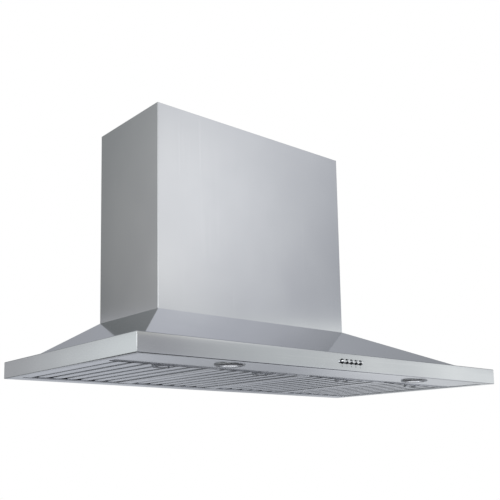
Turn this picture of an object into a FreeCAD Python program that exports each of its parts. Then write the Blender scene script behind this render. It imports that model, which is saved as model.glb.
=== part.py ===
import FreeCAD, Part
import os

import Sketcher
from FreeCAD import Placement, Rotation, Vector

# Wall-mounted chimney range hood, 48 in wide. Row frame in millimetres: x runs along the wall
# with 0 in the middle, y = 0 is the wall and the hood reaches towards -y, z = 0 is the rim's
# bottom edge and z points up.

sizes = {
    # rim, slopes and chimney: the outside shape
    "sheet": 1.2,
    "rim_width": 1219,
    "rim_depth": 600,
    "rim_height": 42,
    "rim_corner": 2.5,
    "rim_ledge": 44.5,
    "ledge_tuck": 3,
    "front_lip": 25,
    "side_lip": 24.5,
    "slope_rise": 125,
    "chimney_width": 670,
    "chimney_depth": 277,
    "chimney_height": 537,
    "chimney_corner": 1.5,
    "cover_return": 20,
    "cover_gap": 0.5,
    "cover_sheet": 1,
    "cover_drop": 2,
    "bracket_drop": 44,
    "ear_inset": 25,
    "bracket_height": 30,
    "bracket_reach": 25,
    # underside
    "panel_depth": 111,
    "panel_overlap": 9,
    "rear_border": 48,
    "upstand": 30,
    "catch_half": 12,
    "inlet_margin": 10,
    "hanger_pitch": 500,
    "hanger_rise": 70,
    "hanger_low": 60,
    "hanger_hole": 4,
    # lamps
    "lamp_pitch": 650,
    "lamp_setback": 64,
    "lamp_hole": 21.5,
    "lamp_flange": 35,
    "lamp_drop": 2.6,
    "lamp_height": 29,
    "lamp_screw_across": 19.5,
    "lamp_screw_along": 14,
    "lamp_screw": 1.2,
    "lamp_screw_head": 2.2,
    # push buttons
    "button_pitch": 16,
    "button_level": 22,
    "button_radius": 4.5,
    "button_out": 8.5,
    "button_hole": 5,
    # grease filters
    "filter_gap": 1,
    "filter_height": 20,
    "filter_sheet": 0.8,
    "filter_level": 1,
    "filter_setback": 2,
    "filter_frame_bar": 10,
    "front_bead": 2,
    "hook_reach": 12,
    "drain_half": 9,
    "drain_top": 8,
    "slot_pitch": 39.7,
    "slot_width": 11,
    "baffle_wall": 7,
    "cap_width": 25,
    "cap_wall": 6,
    # filter handles
    "handle_setback": 26,
    "handle_width": 36,
    "handle_reach": 10,
    "handle_wire": 1.6,
    "handle_drop": 2.6,
    "handle_bend": 4,
    "lug_clear": 4,
    "lug_sheet": 1.5,
    "lug_edge": 0.6,
    # blower
    "box_half": 300,
    "box_height": 233,
    "box_front": 262,
    "box_back": 16,
    "box_sheet": 1,
    "box_foot": 9,
    "scroll_radius": 105,
    "scroll_half": 130,
    "scroll_level": 118,
    "throat_depth": 110,
    "scroll_flange": 12,
    "flange_sheet": 1.5,
    "wheel_radius": 90,
    "wheel_inner": 75,
    "wheel_width": 220,
    "motor_radius": 42,
    "shaft_radius": 5,
    "chamber_half": 140,
    "chamber_height": 70,
    "chamber_margin": 13,
    # duct collar and damper
    "duct_radius": 100,
    "collar_height": 70,
    "collar_flange": 112,
    "pin_radius": 2,
    "pin_rise": 18,
    "pin_clearance": 0.05,
    "flap_radius": 96.5,
    "barrel_radius": 3.2,
    # screws
    "screw_radius": 2,
    "screw_head": 4.2,
    "screw_head_height": 2.6,
    "screw_grip": 5.5,
    "screw_inset": 25,
}

doc = FreeCAD.newDocument("RangeHood")
sheet = doc.addObject("Spreadsheet::Sheet", "Dims")
for row, (alias, amount) in enumerate(sizes.items(), start=1):
    sheet.set(f"A{row}", alias)
    sheet.set(f"B{row}", str(amount))
    sheet.setAlias(f"B{row}", alias)
doc.recompute()


class Size:
    """A length that knows its value and the sheet formula behind it."""

    def __init__(self, value, formula):
        self.value = value
        self.formula = formula

    def __neg__(self):
        return Size(-self.value, f"(-{self.formula})")

    def __add__(self, other):
        other = as_size(other)
        return Size(self.value + other.value, f"({self.formula} + {other.formula})")

    def __sub__(self, other):
        return self + -as_size(other)

    def __mul__(self, other):
        other = as_size(other)
        return Size(self.value * other.value, f"({self.formula} * {other.formula})")

    def __truediv__(self, other):
        other = as_size(other)
        return Size(self.value / other.value, f"({self.formula} / {other.formula})")

    def __radd__(self, other):
        return as_size(other) + self

    def __rsub__(self, other):
        return as_size(other) - self

    def __rmul__(self, other):
        return as_size(other) * self


def as_size(amount):
    return amount if isinstance(amount, Size) else Size(amount, f"({amount})")


def root(size):
    return Size(size.value ** 0.5, f"sqrt({size.formula})")


class SheetSizes:
    """The sheet's cells by name, as d.rim_width."""

    def __getattr__(self, alias):
        return Size(sizes[alias], f"Dims.{alias}")


d = SheetSizes()
nodes = {}
ALONG_X = Rotation(Vector(0, 1, 0), 90)
ALONG_Y = Rotation(Vector(1, 0, 0), -90)
TO_FRONT = Rotation(Vector(1, 0, 0), 90)
UPRIGHT = Rotation()


# ---------------------------------------------------------------- modelling helpers

def fix(thing, path, size):
    """Bind one property to its formula."""
    thing.setExpression(path, as_size(size).formula)


def place(thing, x, y, z, turn=UPRIGHT):
    thing.Placement = Placement(Vector(), turn)
    for axis, size in (("x", x), ("y", y), ("z", z)):
        fix(thing, f"Placement.Base.{axis}", size)
    return thing


def block(x, y, z):
    """A box from three (low, high) spans."""
    box = doc.addObject("Part::Box", "Block")
    for side, (low, high) in (("Length", x), ("Width", y), ("Height", z)):
        fix(box, side, as_size(high) - low)
    return place(box, x[0], y[0], z[0])


def rod(radius, x, y, z, length, turn=UPRIGHT):
    """A round bar that starts at a point and runs up, or as turned."""
    bar = doc.addObject("Part::Cylinder", "Rod")
    fix(bar, "Radius", radius)
    fix(bar, "Height", length)
    return place(bar, x, y, z, turn)


def ball(radius, x, y, z):
    sphere = doc.addObject("Part::Sphere", "Ball")
    fix(sphere, "Radius", radius)
    return place(sphere, x, y, z)


def frustum(base_half, base_front, top_half, top_front, back, low, high):
    """A block whose front and sides lean in from one level to another; its back is upright."""
    wedge = doc.addObject("Part::Wedge", "Frustum")
    for name, size in (
        ("Xmin", -base_half), ("Xmax", base_half), ("X2min", -top_half), ("X2max", top_half),
        ("Ymin", low), ("Ymax", high),
        ("Zmin", -as_size(back)), ("Z2min", -as_size(back)), ("Zmax", base_front), ("Z2max", top_front),
    ):
        fix(wedge, name, size)
    wedge.Placement = Placement(Vector(), TO_FRONT)
    return wedge


def join(*pieces):
    fused = doc.addObject("Part::MultiFuse", "Join")
    fused.Shapes = list(pieces)
    fused.Refine = True
    return fused


def cut(base, *tools):
    result = doc.addObject("Part::Cut", "Cut")
    result.Base = base
    result.Tool = tools[0] if len(tools) == 1 else join(*tools)
    result.Refine = True
    return result


def group(*pieces):
    """Separate solids that share one node."""
    compound = doc.addObject("Part::Compound", "Group")
    compound.Links = list(pieces)
    return compound


def rounded(base, radius, edges):
    """Round the edges of a piece that a test on the edge's middle point and direction picks."""
    doc.recompute()
    fillet = doc.addObject("Part::Fillet", "Rounded")
    fillet.Base = base
    fillet.Edges = [
        (number, radius.value, radius.value)
        for number, edge in enumerate(base.Shape.Edges, start=1)
        if edges(edge.CenterOfMass, edge.tangentAt(edge.FirstParameter))
    ]
    return fillet


def origin_plane(body, role):
    return next(item for item in body.Origin.OriginFeatures if item.Role == role)


def outline(body, role, corners):
    """A closed sketch of straight lines on one of the body's planes, each corner bound."""
    sketch = body.newObject("Sketcher::SketchObject", "Outline")
    sketch.AttachmentSupport = [(origin_plane(body, role), "")]
    sketch.MapMode = "FlatFace"
    points = [(as_size(u), as_size(v)) for u, v in corners]
    for index, (u, v) in enumerate(points):
        next_u, next_v = points[(index + 1) % len(points)]
        line = Part.LineSegment(Vector(u.value, v.value, 0), Vector(next_u.value, next_v.value, 0))
        sketch.addGeometry(line, False)
    for index, (u, v) in enumerate(points):
        previous = (index - 1) % len(points)
        sketch.addConstraint(Sketcher.Constraint("Coincident", previous, 2, index, 1))
        for kind, size in (("DistanceX", u), ("DistanceY", v)):
            number = sketch.addConstraint(Sketcher.Constraint(kind, -1, 1, index, 1, size.value))
            sketch.setExpression(f"Constraints[{number}]", size.formula)
    return sketch


def pad(body, sketch, length):
    feature = body.newObject("PartDesign::Pad", "Pad")
    feature.Profile = sketch
    fix(feature, "Length", length)
    return feature


def revolve(body, sketch):
    """Turn a sketch on the XZ plane about the body's own Z axis."""
    feature = body.newObject("PartDesign::Revolution", "Turned")
    feature.Profile = sketch
    feature.ReferenceAxis = (sketch, ["V_Axis"])
    feature.Angle = 360
    return feature


def turned(profile, x, y, z, turn=UPRIGHT):
    """A body of revolution from (radius, height) corners, standing at a point."""
    body = doc.addObject("PartDesign::Body", "TurnedPiece")
    revolve(body, outline(body, "XZ_Plane", profile))
    return place(body, x, y, z, turn)


def node(name, piece):
    """Name a finished sub-part."""
    piece.Label = name
    nodes[name] = piece
    return piece


# ---------------------------------------------------------------- levels and places

half = d.rim_width / 2
front = -d.rim_depth
ledge_half = half - d.rim_ledge
ledge_front = d.rim_depth - d.rim_ledge
chimney_half = d.chimney_width / 2
canopy_top = d.rim_height + d.slope_rise
chimney_top = canopy_top + d.chimney_height
side_slope = (ledge_half - chimney_half) / d.slope_rise
front_slope = (ledge_front - d.chimney_depth) / d.slope_rise
opening_half = half - d.side_lip
panel_back = front + d.front_lip + d.panel_depth
chimney_middle = -d.chimney_depth / 2
box_top = canopy_top + d.box_height
scroll_axis = canopy_top + d.scroll_level
chamber_top = box_top + d.chamber_height
lamp_y = front + d.lamp_setback
beyond = 1  # how far a cutter stands past the face that it opens
through = 10  # length of a cutter that only has to clear sheet metal


# ---------------------------------------------------------------- canopy

def button_places():
    return [(number - 2) * d.button_pitch for number in range(5)]


def canopy_skirt():
    """Folded rim band: front and two sides, a ledge at the top and a lip at the bottom."""
    half_depth = front.value / 2
    band = rounded(
        block((-half, half), (front, 0), (0, d.rim_height)),
        d.rim_corner,
        lambda middle, way: abs(way.z) > 0.9 and middle.y < half_depth,
    )
    hollow = block(
        (d.sheet - half, half - d.sheet), (front + d.sheet, beyond), (d.sheet, d.rim_height - d.sheet),
    )
    tuck_half = ledge_half - d.ledge_tuck
    mid_height = d.rim_height / 2
    above = block(
        (-tuck_half, tuck_half), (d.ledge_tuck - ledge_front, beyond), (mid_height, d.rim_height + beyond),
    )
    below = block((-opening_half, opening_half), (front + d.front_lip, beyond), (-beyond, mid_height))
    holes = [
        rod(d.button_hole, x, front - beyond, d.button_level, 2 * d.sheet + beyond, ALONG_Y)
        for x in button_places()
    ]
    return cut(band, hollow, above, below, *holes)


def canopy_slopes():
    """Three leaning faces and the flat top that carries the blower box."""
    side_wall = d.sheet * root(1 + side_slope * side_slope)
    front_wall = d.sheet * root(1 + front_slope * front_slope)
    skin = frustum(ledge_half, ledge_front, chimney_half, d.chimney_depth, 0, d.rim_height, canopy_top)
    hollow = frustum(
        ledge_half - side_wall, ledge_front - front_wall,
        chimney_half - side_wall + d.sheet * side_slope,
        d.chimney_depth - front_wall + d.sheet * front_slope,
        beyond, d.rim_height, canopy_top - d.sheet,
    )
    inlet_half = d.box_half - d.inlet_margin
    inlet = block(
        (-inlet_half, inlet_half), (d.inlet_margin - d.box_front, -d.box_back - d.inlet_margin),
        (canopy_top - through, canopy_top + through),
    )
    return cut(skin, hollow, inlet, *screw_holes(box_screw_places(), canopy_top))


def canopy_back():
    """Back sheet with its bottom border folded forward and four holes for the wall screws."""
    body = doc.addObject("PartDesign::Body", "BackSheet")
    tuck_half = ledge_half - d.ledge_tuck
    top_half = tuck_half - (d.slope_rise - d.sheet) * side_slope
    right_edge = [
        (half - d.sheet, d.sheet),
        (half - d.sheet, d.rim_height - d.sheet),
        (tuck_half, d.rim_height - d.sheet),
        (tuck_half, d.rim_height),
        (top_half, canopy_top - d.sheet),
    ]
    left_edge = [(-x, z) for x, z in reversed(right_edge)]
    pad(body, outline(body, "XZ_Plane", right_edge + left_edge), d.sheet)
    border = block((-opening_half, opening_half), (-d.rear_border, 0), (0, d.sheet))
    holes = [
        rod(d.hanger_hole, side * d.hanger_pitch / 2, -through, level, 2 * through, ALONG_Y)
        for side in (-1, 1)
        for level in (d.hanger_low, d.hanger_low + d.hanger_rise)
    ]
    return cut(join(body, border), *holes)


def lamp_panel():
    """Flat front part of the underside, with an upstand in front of the filters."""
    reach = opening_half + d.panel_overlap
    panel_front = front + d.front_lip - d.panel_overlap
    plate = block((-reach, reach), (panel_front, panel_back), (d.sheet, 2 * d.sheet))
    upstand = block((-opening_half, opening_half), (panel_back - d.sheet, panel_back), (d.sheet, d.upstand))
    holes = [rod(d.lamp_hole, side * d.lamp_pitch / 2, lamp_y, 0, through) for side in (-1, 1)]
    return cut(join(plate, upstand), *holes, *lamp_screw_holes(0))


def filter_side_rails():
    rails = []
    for low, high in ((-opening_half - d.sheet, -opening_half), (opening_half, opening_half + d.sheet)):
        rails.append(block((low, high), (panel_back, -d.sheet), (d.sheet, d.upstand)))
    return group(*rails)


def filter_catches():
    """One leaf spring on the upstand for each filter; its rib bears on the filter's front bar."""
    catches = []
    leaf_sheet = 0.6
    rib_radius = 0.65
    rib_level = 14
    for x in filter_centres():
        leaf = block((x - d.catch_half, x + d.catch_half), (panel_back, panel_back + leaf_sheet), (6, 24))
        rib_y = panel_back + leaf_sheet + 0.1
        rib = rod(rib_radius, x - d.catch_half, rib_y, rib_level, 2 * d.catch_half, ALONG_X)
        catches.append(join(leaf, rib))
    return group(*catches)


# ---------------------------------------------------------------- chimney

def chimney_sheet(half_width, face, back, low, high, wall):
    """A U-shaped cover: front, two sides and a narrow return along the wall."""
    half_depth = face.value / 2
    shell = rounded(
        block((-half_width, half_width), (face, back), (low, high)),
        d.chimney_corner,
        lambda middle, way: abs(way.z) > 0.9 and middle.y < half_depth,
    )
    ends = (low - beyond, high + beyond)
    inside = block((wall - half_width, half_width - wall), (face + wall, back - wall), ends)
    mouth_half = half_width - d.cover_return
    mouth = block((-mouth_half, mouth_half), (back - 2 * wall, back + beyond), ends)
    return cut(shell, inside, mouth)


def chimney_cover():
    return chimney_sheet(chimney_half, -d.chimney_depth, as_size(0), canopy_top, chimney_top, d.sheet)


def upper_chimney_cover():
    """Slides up inside the lower cover to meet the ceiling; its top sits just below the lower one's."""
    step = d.sheet + d.cover_gap
    return chimney_sheet(
        chimney_half - step, step - d.chimney_depth, -step,
        canopy_top + d.cover_gap, chimney_top - d.cover_drop, d.cover_sheet,
    )


def chimney_bracket():
    """Wall strip between the cover's returns, with an ear folded forward at each end."""
    reach = chimney_half - d.cover_return
    low = chimney_top - d.bracket_drop
    strip = block((-reach, reach), (-d.sheet, 0), (low, low + d.bracket_height))
    ear_place = reach - d.ear_inset
    ears = [
        block((x, x + d.sheet), (-d.bracket_reach, 0), (low, low + d.bracket_height))
        for x in (-ear_place, ear_place - d.sheet)
    ]
    middle = low + d.bracket_height / 2
    holes = [
        rod(d.hanger_hole, side * d.hanger_pitch / 2, -through, middle, 2 * through, ALONG_Y)
        for side in (-1, 1)
    ]
    return cut(join(strip, *ears), *holes)


# ---------------------------------------------------------------- blower

def box_screw_places():
    return [
        (side * (d.box_half + d.box_foot - 3), y)
        for side in (-1, 1)
        for y in (d.screw_inset - d.box_front, -d.box_back - d.screw_inset)
    ]


def scroll_screw_places():
    return [
        (side * (d.scroll_half + d.scroll_flange / 2 + 0.5), y)
        for side in (-1, 1)
        for y in (scroll_front - 3, scroll_front + d.throat_depth + 3)
    ]


diagonal = 0.7071  # sine of 45 degrees


def collar_screw_places():
    reach = (d.collar_flange - 6) * diagonal
    return [(side * reach, chimney_middle + end * reach) for side in (-1, 1) for end in (-1, 1)]


def screw_holes(places, level):
    """Clearance holes through a sheet that lies at a level."""
    return [rod(d.screw_radius + 0.1, x, y, level - through / 2, through) for x, y in places]


def screws(places, level, direction):
    """Pan-head screws bearing on a level; direction is where the head stands, 1 up or -1 down."""
    head = d.screw_head_height
    grip = d.screw_grip
    head_low, shank_low = (level, level - grip) if direction > 0 else (level - head, level)
    pieces = []
    for x, y in places:
        shank = rod(d.screw_radius, x, y, shank_low, grip)
        pieces.append(join(rod(d.screw_head, x, y, head_low, head), shank))
    return pieces


scroll_front = chimney_middle - d.scroll_radius


def air_box():
    """Suction box over the canopy's top opening, open below, with a foot all round."""
    foot = block(
        (-d.box_half - d.box_foot, d.box_half + d.box_foot),
        (-d.box_front - d.box_foot, d.box_foot - d.box_back),
        (canopy_top, canopy_top + d.box_sheet),
    )
    walls = block((-d.box_half, d.box_half), (-d.box_front, -d.box_back), (canopy_top, box_top))
    inside = block(
        (d.box_sheet - d.box_half, d.box_half - d.box_sheet),
        (d.box_sheet - d.box_front, -d.box_back - d.box_sheet),
        (canopy_top - beyond, box_top - d.box_sheet),
    )
    throat = block(
        (d.box_sheet - d.scroll_half, d.scroll_half - d.box_sheet),
        (scroll_front + d.box_sheet, scroll_front + d.throat_depth - d.box_sheet),
        (box_top - through, box_top + beyond),
    )
    holes = screw_holes(box_screw_places(), canopy_top) + screw_holes(scroll_screw_places(), box_top)
    return cut(join(foot, walls), inside, throat, *holes)


def outlet_chamber():
    """Shallow box over the blower's mouth, with the round duct opening on top."""
    low_y = chimney_middle - d.duct_radius - d.chamber_margin
    high_y = chimney_middle + d.duct_radius + d.chamber_margin
    shell = block((-d.chamber_half, d.chamber_half), (low_y, high_y), (box_top, chamber_top))
    inside = block(
        (d.box_sheet - d.chamber_half, d.chamber_half - d.box_sheet),
        (low_y + d.box_sheet, high_y - d.box_sheet),
        (box_top - beyond, chamber_top - d.box_sheet),
    )
    opening = rod(d.duct_radius - 2, 0, chimney_middle, chamber_top - through, 2 * through)
    return cut(shell, inside, opening, *screw_holes(collar_screw_places(), chamber_top))


def blower_housing():
    """Scroll with a straight throat up to the box's top; an inlet on each side."""
    wall = d.box_sheet
    mouth_level = box_top - d.box_sheet
    throat_height = mouth_level - scroll_axis
    drum = rod(d.scroll_radius, -d.scroll_half, chimney_middle, scroll_axis, 2 * d.scroll_half, ALONG_X)
    throat = block(
        (-d.scroll_half, d.scroll_half), (scroll_front, scroll_front + d.throat_depth),
        (scroll_axis, scroll_axis + throat_height),
    )
    flange = block(
        (-d.scroll_half - d.scroll_flange, d.scroll_half + d.scroll_flange),
        (scroll_front - d.scroll_flange, scroll_front + d.throat_depth + d.scroll_flange),
        (mouth_level - d.flange_sheet, mouth_level),
    )
    drum_inside = rod(
        d.scroll_radius - wall, wall - d.scroll_half, chimney_middle, scroll_axis,
        2 * (d.scroll_half - wall), ALONG_X,
    )
    throat_inside = block(
        (wall - d.scroll_half, d.scroll_half - wall),
        (scroll_front + wall, scroll_front + d.throat_depth - wall),
        (scroll_axis, mouth_level + beyond),
    )
    inlets = rod(
        d.wheel_inner + 3, -d.scroll_half - through, chimney_middle, scroll_axis,
        2 * (d.scroll_half + through), ALONG_X,
    )
    holes = screw_holes(scroll_screw_places(), mouth_level)
    return cut(join(drum, throat, flange), drum_inside, throat_inside, inlets, *holes)


def inlet_ring(side):
    """Bell mouth that leads the air into one side of the wheel."""
    hole = d.wheel_inner + 3
    profile = [
        (hole - 4, -8), (hole - 3, -8), (hole - 1.5, 0), (hole + 14, 0),
        (hole + 14, 1.5), (hole - 1.5, 1.5), (hole - 2.5, 0),
    ]
    turn = ALONG_X if side > 0 else Rotation(Vector(0, 1, 0), -90)
    return turned(profile, side * d.scroll_half, chimney_middle, scroll_axis, turn)


def impeller():
    """Double-inlet wheel: a middle disc on a hub, thirty blades and a ring at each end."""
    width = d.wheel_width
    body = doc.addObject("PartDesign::Body", "Wheel")
    hub = 14
    hub_reach = 15
    blade_count = 30
    middle = width / 2
    disc = [
        (d.shaft_radius, middle - hub_reach), (hub, middle - hub_reach), (hub, middle - 1),
        (d.wheel_radius, middle - 1), (d.wheel_radius, middle + 1), (hub, middle + 1),
        (hub, middle + hub_reach), (d.shaft_radius, middle + hub_reach),
    ]
    revolve(body, outline(body, "XZ_Plane", disc))
    blade = outline(body, "XY_Plane", [
        (d.wheel_inner, 0), (d.wheel_inner + 1, -1), (d.wheel_radius - 0.5, 6),
        (d.wheel_radius - 1, 7.4), (d.wheel_inner + 1, 1),
    ])
    one_blade = pad(body, blade, width)
    doc.recompute()
    fan = body.newObject("PartDesign::PolarPattern", "Blades")
    fan.Originals = [one_blade]
    fan.Axis = (blade, ["N_Axis"])
    fan.Angle = 360
    fan.Occurrences = blade_count
    body.Tip = fan
    ring_width = 1.5
    for low in (as_size(0), width - ring_width):
        high = low + ring_width
        ring = [(d.wheel_inner, low), (d.wheel_radius, low), (d.wheel_radius, high), (d.wheel_inner, high)]
        revolve(body, outline(body, "XZ_Plane", ring))
    return place(body, -width / 2, chimney_middle, scroll_axis, ALONG_X)


motor_tail = -d.scroll_half - 6.5
motor_nose = as_size(-22)


def blower_motor():
    """Closed motor in the left inlet; its front bore lets the shaft out."""
    length = motor_nose - motor_tail
    bore = d.shaft_radius + d.pin_clearance
    profile = [
        (0, 0), (d.motor_radius - 6, 0), (d.motor_radius, 5), (d.motor_radius, length - 8),
        (d.motor_radius - 8, length), (bore, length), (bore, length - 20), (0, length - 20),
    ]
    return turned(profile, motor_tail, chimney_middle, scroll_axis, ALONG_X)


def motor_shaft():
    """Runs from inside the motor's front bore to the far end of the wheel's hub."""
    tail = motor_nose - 19
    nose = 15
    return rod(d.shaft_radius, tail, chimney_middle, scroll_axis, nose - tail, ALONG_X)


def motor_arms():
    """Three-armed spider that carries the motor on the scroll's left side."""
    reach = d.scroll_radius - 5
    plate = 2.5
    pieces = [rod(30, motor_tail - plate, chimney_middle, scroll_axis, plate, ALONG_X)]
    for angle in (90, 210, 330):
        arm = doc.addObject("Part::Box", "Arm")
        foot = doc.addObject("Part::Box", "Foot")
        for bar, start, length, thickness in ((arm, 0, reach, plate), (foot, reach - 8, 8, plate + 6.5)):
            fix(bar, "Length", length)
            fix(bar, "Width", 14)
            fix(bar, "Height", thickness)
            lying = Rotation(Vector(0, 1, 0), 90) * Rotation(Vector(0, 0, 1), 180)
            turn = Rotation(Vector(1, 0, 0), angle) * lying
            corner = turn.multVec(Vector(as_size(start).value, -7, 0))
            place(bar, motor_tail - plate, chimney_middle + corner.y, scroll_axis + corner.z, turn)
            pieces.append(bar)
    return join(*pieces)


# ---------------------------------------------------------------- duct collar and damper

def duct_collar():
    """Round spigot for the duct, with a base flange and two holes for the damper pin."""
    outer = d.duct_radius
    profile = [
        (outer - 1, 0), (d.collar_flange, 0), (d.collar_flange, 1), (outer, 1),
        (outer, d.collar_height), (outer - 1, d.collar_height),
    ]
    collar = turned(profile, 0, chimney_middle, chamber_top)
    pin_hole = rod(
        d.pin_radius + d.pin_clearance, -outer - through, chimney_middle, chamber_top + d.pin_rise,
        2 * (outer + through), ALONG_X,
    )
    return cut(collar, pin_hole, *screw_holes(collar_screw_places(), chamber_top))


def damper_pin():
    """Pin across the collar, its ends just inside the collar's outer face."""
    reach = d.duct_radius - 0.2
    return rod(d.pin_radius, -reach, chimney_middle, chamber_top + d.pin_rise, 2 * reach, ALONG_X)


def damper_flap(side, barrels):
    """Half-round flap on barrels round the pin; side is 1 for the rear flap, -1 for the front."""
    level = chamber_top + d.pin_rise
    low = level - d.barrel_radius
    disc = rod(d.flap_radius, 0, chimney_middle, low, 1)
    clear = d.barrel_radius + 0.4
    edge = chimney_middle + side * clear
    far = chimney_middle + side * (d.flap_radius + 1)
    span = (edge, far) if side > 0 else (far, edge)
    keep = block((-d.flap_radius - 1, d.flap_radius + 1), span, (low - beyond, level))
    half_disc = doc.addObject("Part::Common", "HalfDisc")
    half_disc.Base = disc
    half_disc.Tool = keep
    pieces = [half_disc]
    for start, end in barrels:
        tongue = (chimney_middle, edge) if side > 0 else (edge, chimney_middle)
        pieces.append(block((start, end), tongue, (low, low + 1)))
        pieces.append(rod(d.barrel_radius, start, chimney_middle, level, end - start, ALONG_X))
    bore_radius = d.pin_radius + d.pin_clearance
    bore = rod(bore_radius, -d.duct_radius, chimney_middle, level, 2 * d.duct_radius, ALONG_X)
    return cut(join(*pieces), bore)


# ---------------------------------------------------------------- lamps

def lamp_screw_places():
    """Two screws per lamp, on opposite sides of its glass."""
    return [
        (side * d.lamp_pitch / 2 + way * d.lamp_screw_across, lamp_y - way * d.lamp_screw_along)
        for side in (-1, 1)
        for way in (-1, 1)
    ]


def lamp_screw_holes(low):
    """Clearance holes, longer than the metal is thick."""
    return [rod(d.lamp_screw + 0.1, x, y, low, through) for x, y in lamp_screw_places()]


def lamp_screws():
    """Small round heads under the bezels, with shanks up into the panel."""
    head = 0.9
    grip = 6.4
    low = -d.lamp_drop
    pieces = []
    for x, y in lamp_screw_places():
        shank = rod(d.lamp_screw, x, y, low, grip)
        pieces.append(join(rod(d.lamp_screw_head, x, y, low - head, head), shank))
    return group(*pieces)


# the glass rests on the ledge inside the bezel and bulges down through it
glass_radius = d.lamp_hole - 2
glass_low = -1.6
glass_high = 0.4
neck_top = 9


def lamp_bezel(x):
    """Proud ring with a rolled outer edge and a neck that goes up through the panel."""
    edge = d.lamp_flange
    low = -d.lamp_drop
    opening = glass_radius - 1.5
    profile = [
        (opening, low), (edge - 4, low), (edge - 1.2, low + 0.9), (edge, low + 2.2), (edge, d.sheet),
        (d.lamp_hole - 0.3, d.sheet), (d.lamp_hole - 0.3, neck_top), (d.lamp_hole - 1.8, neck_top),
        (d.lamp_hole - 1.8, glass_low), (opening, glass_low),
    ]
    return cut(turned(profile, x, lamp_y, 0), *lamp_screw_holes(low - beyond))


def lamp_lens(x):
    """Round glass, domed downwards inside the bezel's opening."""
    opening = glass_radius - 1.7
    profile = [
        (0, -2.9), (opening * 0.4, -2.75), (opening * 0.7, -2.45), (opening * 0.9, -2), (opening, glass_low),
        (glass_radius, glass_low), (glass_radius, glass_high), (0, glass_high),
    ]
    return turned(profile, x, lamp_y, 0)


def lamp_housing(x):
    """Reflector cup above the glass, closed at the top."""
    base = glass_high + 0.1
    top = base + d.lamp_height
    shoulder = 16
    wall = 1.5
    profile = [
        (glass_radius - wall, base), (glass_radius, base), (glass_radius, shoulder), (glass_radius - 4, top),
        (0, top), (0, top - 6), (glass_radius - 9, top - 6),
    ]
    return turned(profile, x, lamp_y, 0)


# ---------------------------------------------------------------- push buttons

switch_face = front + d.sheet


def push_button(x):
    """Round domed cap that stands out of the rim, on a thin stem into the switch."""
    out = d.button_out
    cap_back = -3
    profile = [
        (0, -14), (1.8, -14), (1.8, cap_back), (d.button_radius, cap_back),
        (d.button_radius, out - 1.2), (d.button_radius - 0.5, out - 0.4),
        (d.button_radius - 1.5, out), (0, out),
    ]
    return turned(profile, x, front, d.button_level, TO_FRONT)


def button_guides():
    """Dark ring round each button, snapped over the rim's hole."""
    rings = []
    for x in button_places():
        profile = [
            (d.button_radius + 0.2, -0.6), (d.button_hole - 0.05, -0.6), (d.button_hole - 0.05, 0),
            (d.button_hole + 1.4, 0), (d.button_hole + 1.2, 0.8), (d.button_radius + 0.2, 0.8),
        ]
        rings.append(turned(profile, x, front, d.button_level, TO_FRONT))
    return group(*rings)


def switch_housing():
    """Switch block behind the rim, with a stepped bore for each button."""
    shell = block((-46, 46), (switch_face, switch_face + 20), (10, 36))
    bores = []
    for x in button_places():
        bores.append(rod(d.button_radius + 0.4, x, switch_face - beyond, d.button_level, 8, ALONG_Y))
        bores.append(rod(2.2, x, switch_face, d.button_level, 17, ALONG_Y))
    return cut(shell, *bores)


# ---------------------------------------------------------------- electrical parts

def open_box(x, y, z, wall, open_side):
    """A box with walls all round except one side, 'front' or 'top'."""
    shell = block(x, y, z)
    inside_y = (y[0] - beyond if open_side == "front" else y[0] + wall, y[1] - wall)
    inside_z = (z[0] + wall, z[1] + beyond if open_side == "top" else z[1] - wall)
    return cut(shell, block((x[0] + wall, x[1] - wall), inside_y, inside_z))


# boxes behind the right and left slopes, resting on the back sheet and the rear border
control_x = (370, 480)
control_z = (40, 82)
control_front = -80
box_wall = 2


def control_box():
    return open_box(control_x, (control_front, -d.sheet), control_z, box_wall, "front")


def control_cover():
    return block(control_x, (control_front - box_wall, control_front), control_z)


def control_board():
    """Circuit board in its box, with the relays on it."""
    board = block((control_x[0] + 3, control_x[1] - 3), (-14, -12), (control_z[0] + 3, control_z[1] - 3))
    relays = [block((x, x + 16), (-29, -14), (52, 70)) for x in (380, 404, 428)]
    return join(board, *relays)


def led_driver():
    return rounded(
        block((-480, -370), (-40, -d.sheet), (44, 74)), as_size(2),
        lambda middle, way: abs(way.y) > 0.9,
    )


def capacitor():
    profile = [(0, 0), (16, 0), (17.5, 1.5), (17.5, 58), (16, 60), (6, 60), (6, 62), (0, 62)]
    return turned(profile, 290, -19, 62, ALONG_X)


junction_x = (170, 270)
junction_y = (-120, -50)
junction_height = 40
gland_y = -85
gland_level = box_top + 22


def junction_box():
    shell = open_box(junction_x, junction_y, (box_top, box_top + junction_height), box_wall, "top")
    gland_hole = 8.05
    return cut(shell, rod(gland_hole, junction_x[1] - 5, gland_y, gland_level, through, ALONG_X))


def junction_cover():
    low = box_top + junction_height
    return block(junction_x, junction_y, (low, low + box_wall))


def cable_gland():
    """Gland for the supply lead, through the junction box's side wall."""
    profile = [
        (5, -6), (8, -6), (8, 2), (12, 2), (12, 8), (10, 8), (10, 16), (8.5, 20), (5, 20),
    ]
    return turned(profile, junction_x[1] - box_wall, gland_y, gland_level, ALONG_X)


# ---------------------------------------------------------------- grease filters

filter_front = panel_back + d.filter_setback
filter_back = -d.rear_border - 4
filter_pitch = 2 * opening_half / 4
filter_half = (filter_pitch - d.filter_gap) / 2
filter_low = d.filter_level
filter_high = filter_low + d.filter_height
baffle_ends = (filter_front + d.filter_sheet, filter_back - d.filter_sheet)
hook_level = d.sheet + 0.8  # the hook stands clear above the canopy's rear border


def filter_centres():
    return [(number - 1.5) * filter_pitch for number in range(4)]


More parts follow.
